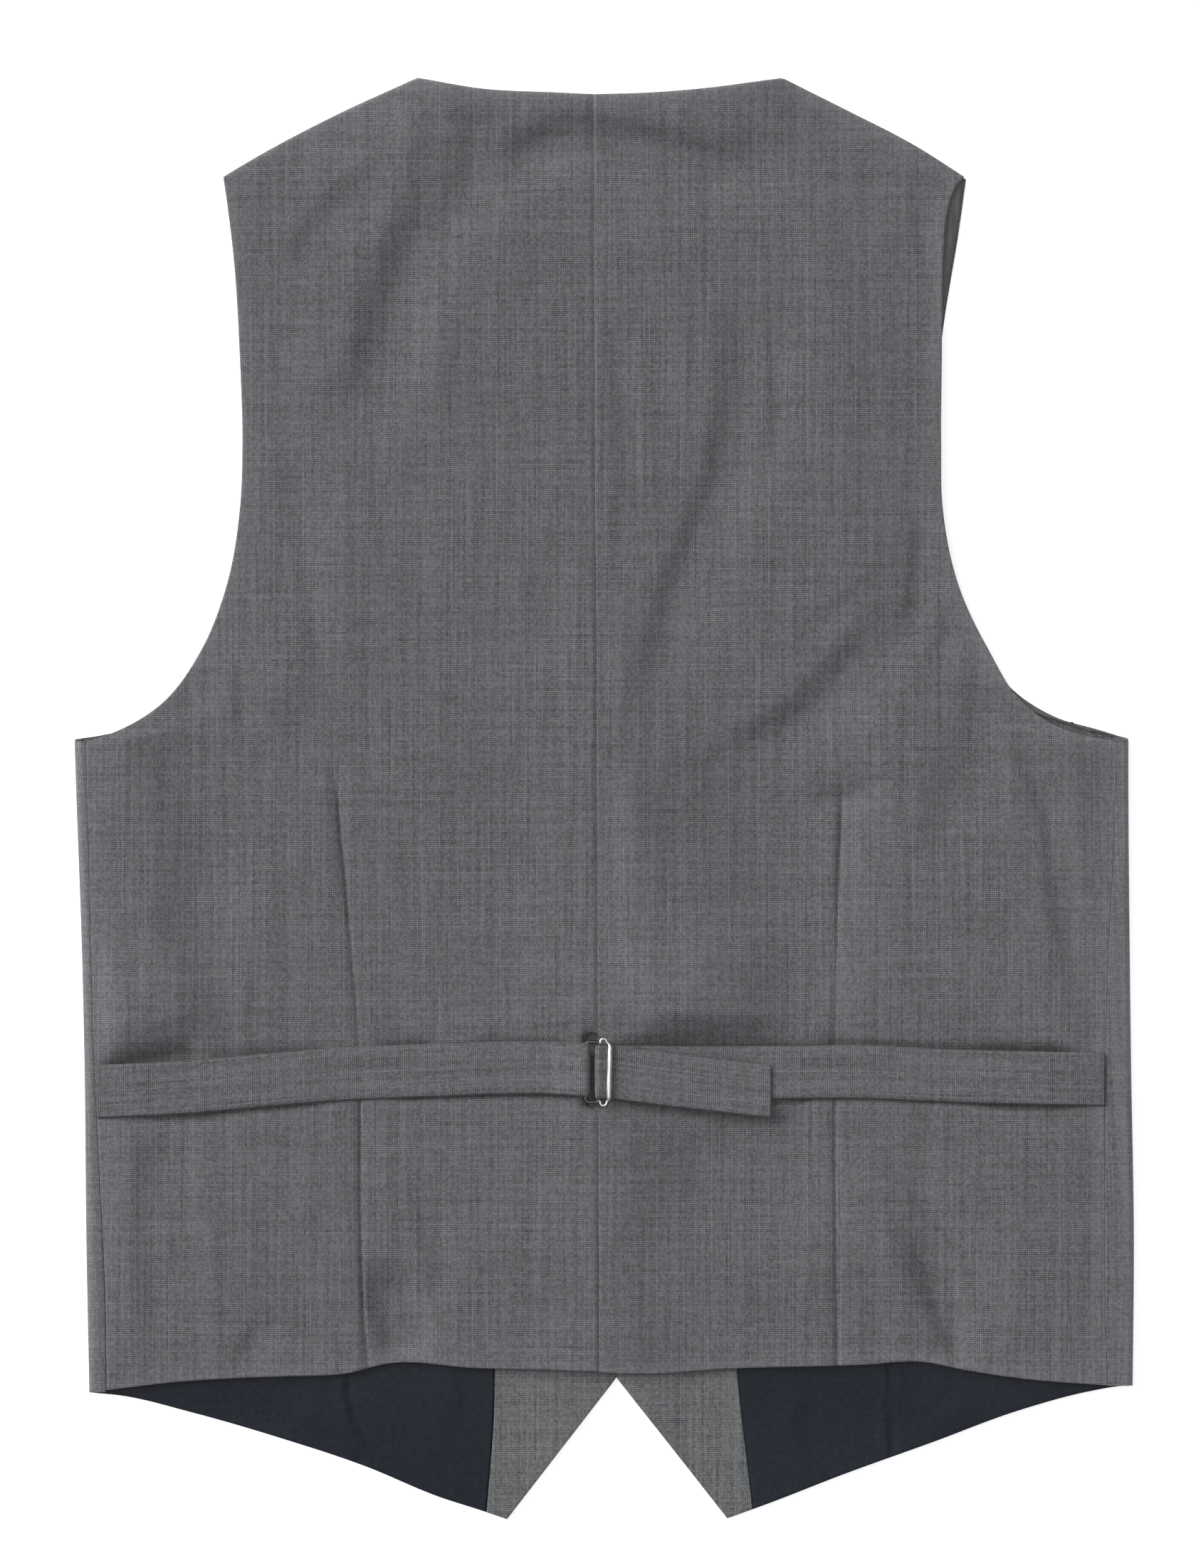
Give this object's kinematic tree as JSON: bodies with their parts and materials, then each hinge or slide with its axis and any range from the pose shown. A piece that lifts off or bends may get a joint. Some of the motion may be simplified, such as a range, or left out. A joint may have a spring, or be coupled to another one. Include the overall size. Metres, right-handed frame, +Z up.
{
  "type": "suit waistcoat",
  "caption": "Single-breasted suit waistcoat laid flat on its front, back up, with darted back, side seams, pointed fronts and a waist belt with a wire slide.",
  "frame": {"origin": "on the surface that the garment lies on, below the middle of its outer box", "axes": "+X to the right of someone looking down at the back (the wearer's right), +Y towards the neck, +Z up"},
  "size_m": [0.4839, 0.6586, 0.0126],
  "materials": {
    "suiting": "grey wool-blend suiting in a fine pick-and-pick weave",
    "lining": "dark navy twill lining, low sheen",
    "armhole_lining": "taupe-grey satin lining, soft sheen",
    "nickel": "nickel-plated steel wire, polished",
    "horn": "dark imitation horn, satin"
  },
  "bodies": {
    "root": {"back_left": "suiting", "back_right": "suiting", "front_left": "suiting", "front_right": "suiting", "facing_left": "suiting", "facing_right": "suiting", "lining_left": "lining", "lining_right": "lining", "lining_armhole_right": "armhole_lining", "strap_left": "suiting", "strap_right": "suiting", "buckle_frame": "nickel", "buckle_bar": "nickel", "button_1": "horn", "button_2": "horn", "button_3": "horn", "button_4": "horn", "button_5": "horn"}
  },
  "joints": []
}
